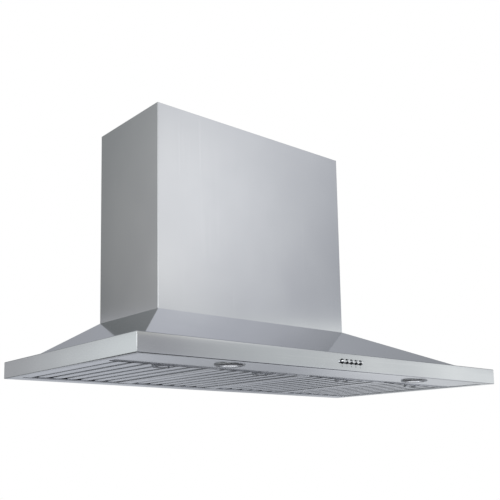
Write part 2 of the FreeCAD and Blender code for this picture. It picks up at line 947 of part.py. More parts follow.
def filter_frame(x):
    """Channel frame: wide side flanges below, a rolled front edge and a hook along the back."""
    wall = d.filter_sheet
    bar = d.filter_frame_bar
    across = (x - filter_half, x + filter_half)
    shell = join(
        block(across, (filter_front, filter_back), (filter_low, filter_high)),
        rod(d.front_bead, across[0], filter_front + d.front_bead, filter_low, 2 * filter_half, ALONG_X),
    )
    hollow = block(
        (across[0] + wall, across[1] - wall), baffle_ends, (filter_low + wall, filter_high - wall),
    )
    open_y = (filter_front + bar, filter_back - bar)
    edge = 3 * d.slot_pitch + d.slot_width / 2
    below = block((x - edge, x + edge), open_y, (filter_low - beyond, filter_low + 2 * wall))
    drains = [
        block(
            (x + number * d.slot_pitch - d.drain_half, x + number * d.slot_pitch + d.drain_half),
            (filter_back - 2 * wall, filter_back + beyond), (filter_low + wall, d.drain_top),
        )
        for number in range(-3, 4)
    ]
    rim = filter_half - bar
    above = block((x - rim, x + rim), open_y, (filter_high - 2 * wall, filter_high + beyond))
    hook = block(across, (filter_back - wall, filter_back + d.hook_reach), (hook_level, hook_level + wall))
    return cut(join(cut(shell, hollow, below, above), hook), *drains)


def channel(x, half_width, low, high, closed):
    """A folded baffle along y: a flat web and two upright walls, web below or above."""
    shell = block((x - half_width, x + half_width), baffle_ends, (low, high))
    wall = d.filter_sheet
    inside = (low + wall, high + beyond) if closed == "below" else (low - beyond, high - wall)
    return cut(shell, block((x - half_width + wall, x + half_width - wall), (front, 0), inside))


def filter_baffles(x):
    """Upright channels between the slots and a wider inverted channel over each slot."""
    low = filter_low + d.filter_sheet
    pieces = []
    web_half = (d.slot_pitch - d.slot_width) / 2
    for number in range(6):
        middle = x + (number - 2.5) * d.slot_pitch
        pieces.append(channel(middle, web_half, low, low + d.baffle_wall, "below"))
    cap_top = filter_high - d.filter_sheet
    for number in range(7):
        middle = x + (number - 3) * d.slot_pitch
        pieces.append(channel(middle, d.cap_width / 2, cap_top - d.cap_wall, cap_top, "above"))
    return group(*pieces)


handle_y = filter_front + d.handle_setback
handle_level = filter_low - d.handle_drop
lug_low = handle_level - d.handle_wire - d.lug_edge


def handle_plate(x):
    """Small plate under the middle slot, with a lug at each side for the bail."""
    top = filter_low + d.filter_sheet
    half_plate = d.handle_width / 2 + d.lug_clear
    plate = block((x - half_plate, x + half_plate), (handle_y - 5, handle_y + 5), (filter_low, top))
    lugs = []
    for low in (x - half_plate, x + half_plate - d.lug_sheet):
        lugs.append(block((low, low + d.lug_sheet), (handle_y - 3, handle_y + 3), (lug_low, top)))
    hole = rod(
        d.handle_wire + d.pin_clearance, x - half_plate - beyond, handle_y, handle_level,
        2 * (half_plate + beyond), ALONG_X,
    )
    return cut(join(plate, *lugs), hole)


def filter_handle(x):
    """Wire bail folded flat under the filter, its two ends turned out into the lugs."""
    wire = d.handle_wire
    side = d.handle_width / 2
    end = handle_y + d.handle_reach
    radius = d.handle_bend
    stub = d.lug_clear - 0.2
    pieces = [
        rod(wire, x - side - stub, handle_y, handle_level, stub, ALONG_X),
        rod(wire, x + side, handle_y, handle_level, stub, ALONG_X),
        rod(wire, x - side + radius, end, handle_level, 2 * (side - radius), ALONG_X),
    ]
    for way in (-1, 1):
        leg = x + way * side
        pieces.append(ball(wire, leg, handle_y, handle_level))
        pieces.append(rod(wire, leg, handle_y, handle_level, d.handle_reach - radius, ALONG_Y))
        bend = doc.addObject("Part::Torus", "Bend")
        fix(bend, "Radius1", radius)
        fix(bend, "Radius2", wire)
        bend.Angle3 = 90
        turn = Rotation(Vector(0, 0, 1), 0 if way > 0 else 90)
        place(bend, leg - way * radius, end - radius, handle_level, turn)
        pieces.append(bend)
    return join(*pieces)


# ---------------------------------------------------------------- assembly

node("canopy_skirt", canopy_skirt())
node("canopy_slopes", canopy_slopes())
node("canopy_back", canopy_back())
node("lamp_panel", lamp_panel())
node("filter_side_rails", filter_side_rails())
node("filter_catches", filter_catches())
node("chimney_cover", chimney_cover())
node("upper_chimney_cover", upper_chimney_cover())
node("chimney_bracket", chimney_bracket())
node("air_box", air_box())
node("outlet_chamber", outlet_chamber())
node("blower_housing", blower_housing())
node("inlet_rings", group(inlet_ring(-1), inlet_ring(1)))
node("impeller", impeller())
node("blower_motor", blower_motor())
node("motor_shaft", motor_shaft())
node("motor_arms", motor_arms())
node("duct_collar", duct_collar())
node("damper_pin", damper_pin())
node("damper_flap_front", damper_flap(-1, [(-80, -40), (2, 40)]))
node("damper_flap_rear", damper_flap(1, [(-38, 0), (42, 80)]))
node("blower_screws", group(
    *screws(box_screw_places(), canopy_top + d.box_sheet, 1),
    *screws(scroll_screw_places(), box_top - d.box_sheet - 1.5, -1),
    *screws(collar_screw_places(), chamber_top + 1, 1),
))
for name, x in (("left", -d.lamp_pitch / 2), ("right", d.lamp_pitch / 2)):
    node(f"lamp_bezel_{name}", lamp_bezel(x))
    node(f"lamp_lens_{name}", lamp_lens(x))
    node(f"lamp_housing_{name}", lamp_housing(x))
node("lamp_screws", lamp_screws())
for number, x in enumerate(button_places(), start=1):
    node(f"push_button_{number}", push_button(x))
node("button_guides", button_guides())
node("switch_housing", switch_housing())
node("control_box", control_box())
node("control_cover", control_cover())
node("control_board", control_board())
node("led_driver", led_driver())
node("capacitor", capacitor())
node("junction_box", junction_box())
node("junction_cover", junction_cover())
node("cable_gland", cable_gland())
for number, x in enumerate(filter_centres(), start=1):
    node(f"filter_frame_{number}", filter_frame(x))
    node(f"filter_baffles_{number}", filter_baffles(x))
    node(f"handle_plate_{number}", handle_plate(x))
    node(f"filter_handle_{number}", filter_handle(x))

doc.recompute()
failed = [item.Name for item in doc.Objects if "Invalid" in item.State or "Error" in item.State]
if failed:
    raise SystemExit(f"failed objects: {failed}")
for name, piece in nodes.items():
    if piece.Shape.isNull() or not piece.Shape.isValid() or not piece.Shape.Solids:
        raise SystemExit(f"{name} has no valid solid")

os.makedirs("parts", exist_ok=True)
for name, piece in nodes.items():
    piece.Shape.exportStep(f"parts/{name}.step")
    bounds = piece.Shape.BoundBox
    print(
        f"{name}: {len(piece.Shape.Solids)} solid(s), {piece.Shape.Volume:.0f} mm3, "
        f"x {bounds.XMin:.1f}..{bounds.XMax:.1f} y {bounds.YMin:.1f}..{bounds.YMax:.1f} "
        f"z {bounds.ZMin:.1f}..{bounds.ZMax:.1f}"
    )
print(len(nodes), "nodes")
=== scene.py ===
import math

import bmesh
import bpy
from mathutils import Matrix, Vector


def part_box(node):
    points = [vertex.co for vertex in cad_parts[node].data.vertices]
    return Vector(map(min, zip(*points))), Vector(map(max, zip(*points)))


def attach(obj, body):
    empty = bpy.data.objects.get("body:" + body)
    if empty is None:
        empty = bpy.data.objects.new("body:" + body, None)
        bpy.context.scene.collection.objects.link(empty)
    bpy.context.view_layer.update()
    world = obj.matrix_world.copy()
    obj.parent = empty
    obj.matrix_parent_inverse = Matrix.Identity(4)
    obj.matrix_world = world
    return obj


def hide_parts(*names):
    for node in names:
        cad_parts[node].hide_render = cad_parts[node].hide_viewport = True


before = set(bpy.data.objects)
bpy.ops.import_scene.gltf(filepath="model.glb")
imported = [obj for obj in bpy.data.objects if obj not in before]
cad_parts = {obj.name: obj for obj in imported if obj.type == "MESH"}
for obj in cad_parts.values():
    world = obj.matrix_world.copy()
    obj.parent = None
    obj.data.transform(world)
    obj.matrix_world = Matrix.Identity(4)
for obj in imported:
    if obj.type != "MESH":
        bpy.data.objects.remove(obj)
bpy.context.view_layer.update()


print("loaded", len(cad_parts), "nodes")

mm = 0.001
scene = bpy.context.scene


# the camera stands low at the front left and looks up along the canopy

viewPoint = {
    "place": (-1.4223, -1.8378, -0.2019),
    "turn": 0.67206,       # from +Y towards +X
    "tilt": 0.139,         # upwards
    "roll": -0.01072,
    "lens": 56.4,
    "shift": (0.085, 0.1978),
}


def setCamera():
    turn, tilt, roll = viewPoint["turn"], viewPoint["tilt"], viewPoint["roll"]
    ahead = Vector((math.sin(turn) * math.cos(tilt), math.cos(turn) * math.cos(tilt), math.sin(tilt)))
    side = Vector((math.cos(turn), -math.sin(turn), 0))
    up = side.cross(ahead)
    rolledSide = side * math.cos(roll) + up * math.sin(roll)
    rolledUp = up * math.cos(roll) - side * math.sin(roll)
    data = bpy.data.cameras.new("hoodCamera")
    data.lens = viewPoint["lens"]
    data.sensor_width = 36
    data.shift_x, data.shift_y = viewPoint["shift"]
    data.clip_end = 200
    camera = bpy.data.objects.new("hoodCamera", data)
    scene.collection.objects.link(camera)
    matrix = camera.matrix_world.to_3x3()
    matrix.col[0], matrix.col[1], matrix.col[2] = rolledSide, rolledUp, -ahead
    camera.matrix_world = matrix.to_4x4()
    camera.location = viewPoint["place"]
    scene.camera = camera


setCamera()
print("camera set")


# shader helpers: a Wire is one socket's output, a Shader is one material's nodes

class Wire:
    def __init__(self, owner, socket):
        self.owner = owner
        self.socket = socket

    def maths(self, operation, first, second):
        return self.owner.node("ShaderNodeMath", {"operation": operation}, {0: first, 1: second})

    def __add__(self, other):
        return self.maths("ADD", self, other)

    def __radd__(self, other):
        return self.maths("ADD", other, self)

    def __sub__(self, other):
        return self.maths("SUBTRACT", self, other)

    def __rsub__(self, other):
        return self.maths("SUBTRACT", other, self)

    def __mul__(self, other):
        return self.maths("MULTIPLY", self, other)

    def __rmul__(self, other):
        return self.maths("MULTIPLY", other, self)


class Shader:
    def __init__(self, name):
        self.material = bpy.data.materials.new(name)
        self.material.use_nodes = True
        self.tree = self.material.node_tree
        self.tree.nodes.clear()

    def node(self, kind, settings=None, inputs=None, output=0):
        made = self.tree.nodes.new(kind)
        for key, value in (settings or {}).items():
            if key == "stops":
                ramp = made.color_ramp.elements
                while len(ramp) < len(value):
                    ramp.new(1)
                for stop, (position, colour) in zip(ramp, value):
                    stop.position = position
                    stop.color = (*colour, 1) if isinstance(colour, tuple) else (colour, colour, colour, 1)
            else:
                setattr(made, key, value)
        for key, value in (inputs or {}).items():
            if isinstance(value, Wire):
                self.tree.links.new(value.socket, made.inputs[key])
            else:
                made.inputs[key].default_value = value
        return Wire(self, made.outputs[output]) if len(made.outputs) else None

    def place(self):
        return self.node("ShaderNodeTexCoord", output="Object")

    def stretched(self, scale, shift=(0, 0, 0)):
        return self.node("ShaderNodeMapping", {}, {"Vector": self.place(), "Scale": scale, "Location": shift})

    def noise(self, vector, scale, detail=2.0, roughness=0.5, distortion=0.0):
        return self.node("ShaderNodeTexNoise", {}, {
            "Vector": vector, "Scale": scale, "Detail": detail,
            "Roughness": roughness, "Distortion": distortion,
        })

    def between(self, value, fromLow, fromHigh, toLow, toHigh, smooth=True):
        kind = "SMOOTHSTEP" if smooth else "LINEAR"
        return self.node("ShaderNodeMapRange", {"interpolation_type": kind, "clamp": True}, {
            "Value": value, "From Min": fromLow, "From Max": fromHigh, "To Min": toLow, "To Max": toHigh,
        })

    def mix(self, factor, first, second, blend="MIX"):
        return self.node("ShaderNodeMix", {"data_type": "RGBA", "blend_type": blend, "clamp_factor": True}, {
            "Factor": factor, 6: (*first, 1) if isinstance(first, tuple) else first,
            7: (*second, 1) if isinstance(second, tuple) else second,
        }, output=2)

    def bump(self, height, strength, distance):
        return self.node("ShaderNodeBump", {}, {"Height": height, "Strength": strength, "Distance": distance})

    def surface(self, inputs):
        shade = self.node("ShaderNodeBsdfPrincipled", {}, inputs)
        self.node("ShaderNodeOutputMaterial", {}, {"Surface": shade})
        return self.material


# brushed stainless sheet: long fine scratches along one direction, soft blotches from handling

def brushedSteel(name, look):
    s = Shader(name)
    along = {"x": (6, 900, 900), "y": (900, 6, 900), "z": (900, 900, 6)}[look["grain"]]
    grain = s.noise(s.stretched(along), 1.0, 3.0, 0.6)
    longScratch = s.noise(s.stretched(tuple(v * 0.35 for v in along), (3.1, 1.7, 0.4)), 1.0, 1.0)
    blotch = s.noise(s.place(), 3.1, 3.0, 0.55)
    smear = s.noise(s.stretched((1, 1, 1), (4, 2, 7)), 11.0, 2.0, 0.5, 0.6)
    scratchMask = s.between(longScratch, 0.66, 0.74, 0, 1)
    tone = s.mix(s.between(blotch, 0.3, 0.7, 0, 1), look["dark"], look["light"])
    tone = s.mix(s.between(grain, 0.3, 0.7, 0.0, look["grainTint"]), tone, look["dark"])
    if "paintedJointHighlight" in look:  # painted highlight: frames are painted brighter along the joints between filters, standing in for light caught on the raised frame edges
        halfPitch, width, highlightTone = look["paintedJointHighlight"]
        across = s.node("ShaderNodeSeparateXYZ", {}, {0: s.place()}, output="X")
        offJoint = s.node("ShaderNodeMath", {"operation": "PINGPONG"}, {0: across, 1: halfPitch})
        tone = s.mix(s.between(offJoint, width, width * 1.6, 1, 0), tone, highlightTone)
    tone = s.mix(scratchMask * 0.12, tone, (0.93, 0.93, 0.95))
    rough = look["rough"] + (grain - 0.5) * look["grainRough"] + (smear - 0.5) * look["smearRough"]
    height = grain + scratchMask * 0.6
    return s.surface({
        "Base Color": tone,
        "Metallic": 1.0,
        "Roughness": rough,
        "Normal": s.bump(height, look["bump"], 0.00012),
    })


steelLooks = {
    "rimSteel": {
        "grain": "x", "dark": (0.68, 0.695, 0.72), "light": (0.765, 0.78, 0.80), "grainTint": 0.25,
        "rough": 0.19, "grainRough": 0.08, "smearRough": 0.04, "bump": 0.08,
    },
    "slopeSteel": {
        "grain": "x", "dark": (0.69, 0.705, 0.735), "light": (0.74, 0.755, 0.785), "grainTint": 0.12,
        "rough": 0.08, "grainRough": 0.03, "smearRough": 0.015, "bump": 0.02,
    },
    "chimneySteel": {
        "grain": "z", "dark": (0.70, 0.715, 0.745), "light": (0.76, 0.775, 0.80), "grainTint": 0.15,
        "rough": 0.15, "grainRough": 0.05, "smearRough": 0.02, "bump": 0.04,
    },
    "panelSteel": {
        "grain": "x", "dark": (0.615, 0.63, 0.66), "light": (0.68, 0.695, 0.725), "grainTint": 0.2,
        "rough": 0.17, "grainRough": 0.08, "smearRough": 0.04, "bump": 0.06,
    },
    "filterSteel": {
        "grain": "y", "dark": (0.64, 0.655, 0.69), "light": (0.72, 0.735, 0.77), "grainTint": 0.25,
        "rough": 0.22, "grainRough": 0.10, "smearRough": 0.05, "bump": 0.08,
    },
    "traySteel": {
        "grain": "y", "dark": (0.66, 0.675, 0.71), "light": (0.74, 0.755, 0.79), "grainTint": 0.25,
        "rough": 0.2, "grainRough": 0.10, "smearRough": 0.05, "bump": 0.06,
        # painted highlight along the joints between the filter frames: half pitch, width, tone
        "paintedJointHighlight": (146.25 * mm, 3.5 * mm, (0.92, 0.93, 0.96)),
    },
}


def galvanisedSheet():
    s = Shader("galvanisedSheet")
    flakes = s.node("ShaderNodeTexVoronoi", {"feature": "F1"}, {
        "Vector": s.place(), "Scale": 95.0,
    }, output="Color")
    flake = s.node("ShaderNodeSeparateColor", {}, {0: flakes}, output=0)
    stain = s.noise(s.place(), 7.0, 4.0, 0.6)
    tone = s.mix(flake, (0.47, 0.50, 0.53), (0.68, 0.70, 0.72))
    tone = s.mix(s.between(stain, 0.55, 0.75, 0, 0.5), tone, (0.80, 0.81, 0.80))
    return s.surface({
        "Base Color": tone, "Metallic": 1.0, "Roughness": 0.34 + flake * 0.16,
        "Normal": s.bump(flake, 0.08, 0.0002),
    })


def polishedChrome(name, tint, rough):
    s = Shader(name)
    film = s.noise(s.place(), 240.0, 2.0)
    swirl = s.noise(s.place(), 1500.0, 1.0)
    tone = s.mix(s.between(film, 0.4, 0.7, 0, 1), tint, tuple(v * 0.93 for v in tint))
    return s.surface({
        "Base Color": tone, "Metallic": 1.0, "Roughness": rough + film * 0.05,
        "Normal": s.bump(swirl, 0.03, 0.00005),
    })


def mouldedPlastic(name, tint, rough, grainScale):
    s = Shader(name)
    grain = s.noise(s.place(), grainScale, 2.0)
    dust = s.noise(s.place(), 60.0, 3.0, 0.6)
    paler = tuple(min(1, v * 1.25 + 0.02) for v in tint)
    return s.surface({
        "Base Color": s.mix(s.between(dust, 0.45, 0.75, 0, 1), tint, paler),
        "Roughness": rough + grain * 0.15, "Normal": s.bump(grain, 0.25, 0.0001),
    })


def castAluminium():
    s = Shader("castAluminium")
    skin = s.noise(s.place(), 420.0, 3.0)
    cloud = s.noise(s.place(), 25.0, 2.0)
    return s.surface({
        "Base Color": s.mix(cloud, (0.66, 0.67, 0.68), (0.82, 0.82, 0.83)), "Metallic": 1.0,
        "Roughness": 0.33 + skin * 0.2, "Normal": s.bump(skin, 0.15, 0.0002),
    })


def motorEnamel():
    s = Shader("motorEnamel")
    peel = s.noise(s.place(), 300.0, 2.0)
    chips = s.between(s.noise(s.place(), 45.0, 4.0, 0.7), 0.70, 0.73, 0, 1)
    return s.surface({
        "Base Color": s.mix(chips, (0.035, 0.035, 0.04), (0.30, 0.30, 0.30)),
        "Roughness": 0.32 + peel * 0.12, "Coat Weight": 0.3, "Normal": s.bump(peel, 0.15, 0.0002),
    })


def circuitBoard():
    s = Shader("circuitBoard")
    tracks = s.node("ShaderNodeTexBrick", {"offset": 0.5}, {
        "Vector": s.stretched((70, 70, 70)), "Color1": (0.02, 0.16, 0.07, 1), "Color2": (0.03, 0.20, 0.09, 1),
        "Mortar": (0.10, 0.32, 0.16, 1), "Mortar Size": 0.03, "Scale": 5.0,
    })
    return s.surface({"Base Color": tracks, "Roughness": 0.35, "Coat Weight": 0.4})


# frosted lamp glass with fine rings round its own middle

def frostedLens(name, middle):
    s = Shader(name)
    centred = s.node("ShaderNodeMapping", {"vector_type": "POINT"}, {
        "Vector": s.place(), "Location": (-middle[0], -middle[1], -middle[2]),
    })
    rings = s.node("ShaderNodeTexWave", {
        "wave_type": "RINGS", "rings_direction": "Z", "wave_profile": "SIN",
    }, {"Vector": centred, "Scale": 160.0, "Distortion": 0.0}, output="Fac")
    frost = s.noise(s.place(), 900.0, 2.0)
    return s.surface({
        "Base Color": s.mix(frost, (0.90, 0.91, 0.92), (0.98, 0.98, 0.97)),
        "Roughness": 0.12 + frost * 0.15, "Transmission Weight": 0.6, "IOR": 1.45,
        "Emission Color": s.mix(rings, (0.95, 0.96, 1.0), (0.80, 0.82, 0.88)), "Emission Strength": 0.2,
        "Normal": s.bump(rings, 0.35, 0.0004),
    })


def printedMark():
    s = Shader("printedMark")
    wear = s.noise(s.place(), 900.0, 3.0)
    return s.surface({
        "Base Color": s.mix(s.between(wear, 0.55, 0.8, 0, 1), (0.16, 0.16, 0.17), (0.32, 0.32, 0.33)),
        "Roughness": 0.5 + wear * 0.1,
    })


finishes = {name: brushedSteel(name, look) for name, look in steelLooks.items()}
finishes["galvanised"] = galvanisedSheet()
finishes["chrome"] = polishedChrome("polishedChrome", (0.88, 0.89, 0.91), 0.06)
finishes["satinRing"] = polishedChrome("satinRing", (0.88, 0.89, 0.92), 0.42)
finishes["screwSteel"] = polishedChrome("screwSteel", (0.30, 0.30, 0.31), 0.35)
finishes["zinc"] = polishedChrome("zincPlate", (0.66, 0.68, 0.70), 0.26)
finishes["blackPlastic"] = mouldedPlastic("blackPlastic", (0.018, 0.018, 0.02), 0.38, 1400.0)
finishes["greyPlastic"] = mouldedPlastic("greyPlastic", (0.55, 0.56, 0.56), 0.45, 900.0)
finishes["aluminium"] = castAluminium()
finishes["enamel"] = motorEnamel()
finishes["board"] = circuitBoard()
finishes["mark"] = printedMark()
print("finishes made:", len(finishes))


# modelling helpers, all working through edit mode and modifiers

def deselectAll():
    if bpy.context.mode != "OBJECT":
        bpy.ops.object.mode_set(mode="OBJECT")
    bpy.ops.object.select_all(action="DESELECT")


def activate(piece):
    deselectAll()
    piece.select_set(True)
    bpy.context.view_layer.objects.active = piece


def settle(piece):
    activate(piece)
    bpy.ops.object.transform_apply(location=True, rotation=True, scale=True)
    return piece


def startBox(name, low, high):
    deselectAll()
    low, high = Vector(low), Vector(high)
    bpy.ops.mesh.primitive_cube_add(size=1, location=(low + high) / 2)
    piece = bpy.context.object
    piece.name = name
    piece.scale = high - low
    return settle(piece)


def startRound(name, radius, low, high, sides=48, axis="z"):
    deselectAll()
    low, high = Vector(low), Vector(high)
    turn = {"x": (0, math.pi / 2, 0), "y": (math.pi / 2, 0, 0), "z": (0, 0, 0)}[axis]
    bpy.ops.mesh.primitive_cylinder_add(
        vertices=sides, radius=radius, depth=(high - low).length, location=(low + high) / 2, rotation=turn,
    )
    piece = bpy.context.object
    piece.name = name
    return settle(piece)


def pick(piece, kind, test):
    if bpy.context.mode != "EDIT_MESH":
        activate(piece)
        bpy.ops.object.mode_set(mode="EDIT")
    bpy.ops.mesh.select_mode(type=kind)
    bpy.ops.mesh.select_all(action="DESELECT")
    mesh = bmesh.from_edit_mesh(piece.data)
    mesh.faces.ensure_lookup_table()
    if kind == "FACE":
        chosen = [face for face in mesh.faces if test(face.calc_center_median(), face.normal)]
    elif kind == "EDGE":
        chosen = []
        for edge in mesh.edges:
            start, end = edge.verts[0].co, edge.verts[1].co
            if test((start + end) / 2, (end - start).normalized()):
                chosen.append(edge)
    else:
        chosen = [vert for vert in mesh.verts if test(vert.co, vert.normal)]
    for item in chosen:
        item.select_set(True)
    mesh.select_flush_mode()
    bmesh.update_edit_mesh(piece.data)
    return len(chosen)


def near(a, b, slack=0.02 * mm):
    return abs(a - b) < slack


def pull(move):
    bpy.ops.mesh.extrude_region_move(TRANSFORM_OT_translate={"value": move})


def spread(factors, middle):
    bpy.ops.transform.resize(value=factors, center_override=middle)


def finishEdit():
    bpy.ops.mesh.select_all(action="DESELECT")
    bpy.ops.object.mode_set(mode="OBJECT")


def modify(piece, kind, **settings):
    activate(piece)
    modifier = piece.modifiers.new(kind.lower(), kind)
    for key, value in settings.items():
        setattr(modifier, key, value)
    bpy.ops.object.modifier_apply(modifier=modifier.name)
    return piece


def thicken(piece, wall):
    return modify(
        piece, "SOLIDIFY", thickness=wall, offset=-1, use_even_offset=True, use_quality_normals=True,
    )


def smooth(piece, angle=40):
    activate(piece)
    bpy.ops.object.shade_smooth_by_angle(angle=math.radians(angle))
    return piece


def joined(name, pieces):
    deselectAll()
    for piece in pieces:
        piece.select_set(True)
    bpy.context.view_layer.objects.active = pieces[0]
    bpy.ops.object.join()
    whole = bpy.context.object
    whole.name = name
    return whole


def copied(piece, name, move):
    copy = piece.copy()
    copy.data = piece.data.copy()
    copy.name = name
    scene.collection.objects.link(copy)
    copy.location = move
    return settle(copy)


def paint(piece, finish):
    piece.data.materials.clear()
    piece.data.materials.append(finishes[finish])
    return piece


def fit(piece, body, nodes=()):
    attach(piece, body)
    if nodes:
        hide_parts(*nodes)
    return piece


# canopy rim: a band folded in at the top and bottom, with rounded folds and five button holes

rim = {
    "sheet": 1.2 * mm, "fold": 1.7 * mm, "ledge": 47.5 * mm, "frontLip": 25 * mm, "sideLip": 24.5 * mm,
    "hole": 5 * mm, "drillOut": 4 * mm, "drillIn": 6 * mm,
}


def buildRim():
    low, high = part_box("canopy_skirt")
    half, depth, top = high[0], -low[1], high[2]
    piece = startBox("canopyRim", low, high)
    pick(piece, "FACE", lambda at, way: way.y > 0.9 or abs(way.z) > 0.9)
    bpy.ops.mesh.delete(type="FACE")
    for level, inSide, inFront in ((top, rim["ledge"], rim["ledge"]), (0, rim["sideLip"], rim["frontLip"])):
        pick(piece, "EDGE", lambda at, way: near(at.z, level) and abs(way.z) < 0.1)
        pull((0, 0, 0))
        spread(((half - inSide) / half, (depth - inFront) / depth, 1), (0, 0, 0))
    onBand = lambda at: near(abs(at.x), half) or near(at.y, -depth)
    onFold = lambda at, way: abs(way.z) > 0.9 or near(at.z, 0) or near(at.z, top)
    pick(piece, "EDGE", lambda at, way: onBand(at) and not near(at.y, 0) and onFold(at, way))
    bpy.ops.mesh.bevel(offset=rim["fold"], segments=4, affect="EDGES", clamp_overlap=True)
    finishEdit()
    thicken(piece, rim["sheet"])
    drills = []
    for number in range(1, 6):
        buttonLow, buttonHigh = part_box(f"push_button_{number}")
        x, z = (buttonLow[0] + buttonHigh[0]) / 2, (buttonLow[2] + buttonHigh[2]) / 2
        drillEnds = (x, -depth - rim["drillOut"], z), (x, -depth + rim["drillIn"], z)
        drills.append(startRound("drill", rim["hole"], *drillEnds, 32, "y"))
    drill = joined("drill", drills)
    modify(piece, "BOOLEAN", object=drill, operation="DIFFERENCE", solver="EXACT")
    bpy.data.objects.remove(drill)
    smooth(piece, 50)
    paint(piece, "rimSteel")
    fit(piece, "hood", ["canopy_skirt"])


buildRim()
print("rim built")


# push buttons: domed chrome caps with a turned groove, each over a thin black guide ring

button = {
    "radius": 4.5 * mm, "fold": 1.2 * mm, "dishInset": 0.9 * mm, "dish": 0.25 * mm, "stem": 1.8 * mm,
    "groove": 0.35 * mm, "grooveFront": 2.6 * mm, "grooveBack": 2.1 * mm, "gap": 0.2 * mm, "cut": 4 * mm,
    "guideOuter": 6.4 * mm, "guideOut": 0.8 * mm, "guideIn": 0.6 * mm, "guideFold": 0.35 * mm,
}


def buildButtons():
    low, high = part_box("push_button_3")
    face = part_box("canopy_skirt")[0][1]
    back = face + 3 * mm
    level = (low[2] + high[2]) / 2
    r = button["radius"]
    cap = startRound("buttonCap", r, (0, low[1] + 0.02 * mm, level), (0, back, level), 40, "y")
    pick(cap, "FACE", lambda at, way: way.y < -0.9)
    bpy.ops.mesh.bevel(offset=button["fold"], segments=5, affect="EDGES")
    pick(cap, "FACE", lambda at, way: way.y < -0.99)
    bpy.ops.mesh.inset(thickness=button["dishInset"])
    bpy.ops.transform.translate(value=(0, button["dish"], 0))
    pick(cap, "FACE", lambda at, way: way.y > 0.9)
    bpy.ops.mesh.inset(thickness=r - button["stem"])
    pull((0, high[1] - back, 0))
    finishEdit()
    grooveEnds = (0, face - button["grooveFront"], level), (0, face - button["grooveBack"], level)
    groove = startRound("groove", r + 1 * mm, *grooveEnds, 40, "y")
    reach = button["cut"]
    core = startRound("core", r - button["groove"], (0, face - reach, level), (0, face, level), 40, "y")
    modify(groove, "BOOLEAN", object=core, operation="DIFFERENCE", solver="EXACT")
    modify(cap, "BOOLEAN", object=groove, operation="DIFFERENCE", solver="EXACT")
    bpy.data.objects.remove(groove)
    bpy.data.objects.remove(core)
    smooth(cap, 35)
    paint(cap, "chrome")
    innerEnds = (0, face - reach, level), (0, face + reach, level)
    inner = startRound("inner", r + button["gap"], *innerEnds, 40, "y")
    guideEnds = (0, face - button["guideOut"], level), (0, face + button["guideIn"], level)
    guide = startRound("guide", button["guideOuter"], *guideEnds, 40, "y")
    pick(guide, "FACE", lambda at, way: way.y < -0.9)
    bpy.ops.mesh.bevel(offset=button["guideFold"], segments=3, affect="EDGES")
    finishEdit()
    modify(guide, "BOOLEAN", object=inner, operation="DIFFERENCE", solver="EXACT")
    bpy.data.objects.remove(inner)
    smooth(guide, 40)
    paint(guide, "blackPlastic")
    guides = []
    for number in range(1, 6):
        nodeLow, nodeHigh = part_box(f"push_button_{number}")
        x = (nodeLow[0] + nodeHigh[0]) / 2
        piece = copied(cap, f"pushButton_{number}", (x, 0, 0))
        fit(piece, f"button_{number}", [f"push_button_{number}"])
        guides.append(copied(guide, f"guide_{number}", (x, 0, 0)))
    fit(joined("buttonGuideRings", guides), "hood", ["button_guides"])
    bpy.data.objects.remove(cap)
    bpy.data.objects.remove(guide)


buildButtons()
print("buttons built")


# grease filter baffles: upright folded channels, notched at the back, with an inverted one over each slot

baffle = {
    "sheet": 0.8 * mm, "fold": 2.2 * mm, "wall": 7 * mm, "capWall": 6 * mm, "capHalf": 12.5 * mm,
    "pitch": 39.7 * mm, "webHalf": 14.35 * mm, "notchLong": 20 * mm, "notchWide": 4.4 * mm, "margin": 1 * mm,
}


def foldedChannel(name, half, ends, low, high, openAbove):
    piece = startBox(name, (-half, ends[0], low), (half, ends[1], high))
    pick(piece, "FACE", lambda at, way: abs(way.y) > 0.9 or (way.z > 0.9 if openAbove else way.z < -0.9))
    bpy.ops.mesh.delete(type="FACE")
    webLevel = low if openAbove else high
    pick(piece, "EDGE", lambda at, way: near(at.z, webLevel) and abs(way.y) > 0.9)
    bpy.ops.mesh.bevel(offset=baffle["fold"], segments=5, affect="EDGES")
    finishEdit()
    return thicken(piece, baffle["sheet"])


def buildBaffles():
    low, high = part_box("filter_baffles_1")
    ends, bottom, top = (low[1], high[1]), low[2], high[2]
    half = baffle["webHalf"]
    web = foldedChannel("web", half, ends, bottom, bottom + baffle["wall"], True)
    margin = baffle["margin"]
    notchFront, notchBack = ends[1] - baffle["notchLong"], ends[1] + margin
    cutters = []
    for side in (-1, 1):
        inner, outer = side * (half - baffle["notchWide"]), side * (half + margin)
        cutters.append(startBox(
            "notch", (min(inner, outer), notchFront, bottom - margin),
            (max(inner, outer), notchBack, bottom + baffle["wall"] + margin),
        ))
    cutter = joined("notch", cutters)
    modify(web, "BOOLEAN", object=cutter, operation="DIFFERENCE", solver="EXACT")
    bpy.data.objects.remove(cutter)
    cap = foldedChannel("cap", baffle["capHalf"], ends, top - baffle["capWall"], top, False)
    for piece in (web, cap):
        smooth(piece, 40)
        paint(piece, "filterSteel")
    for number in range(1, 5):
        nodeLow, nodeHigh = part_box(f"filter_baffles_{number}")
        middle = (nodeLow[0] + nodeHigh[0]) / 2
        rows = [copied(web, "web", (middle + (i - 2.5) * baffle["pitch"], 0, 0)) for i in range(6)]
        rows += [copied(cap, "cap", (middle + (i - 3) * baffle["pitch"], 0, 0)) for i in range(7)]
        channels = joined(f"filterChannels_{number}", rows)
        fit(channels, f"filter_{number}", [f"filter_baffles_{number}"])
    bpy.data.objects.remove(web)
    bpy.data.objects.remove(cap)


buildBaffles()
print("filter channels built")


# grease filter frames: a folded tray edge with drain slots, a rolled front edge and a rear hook

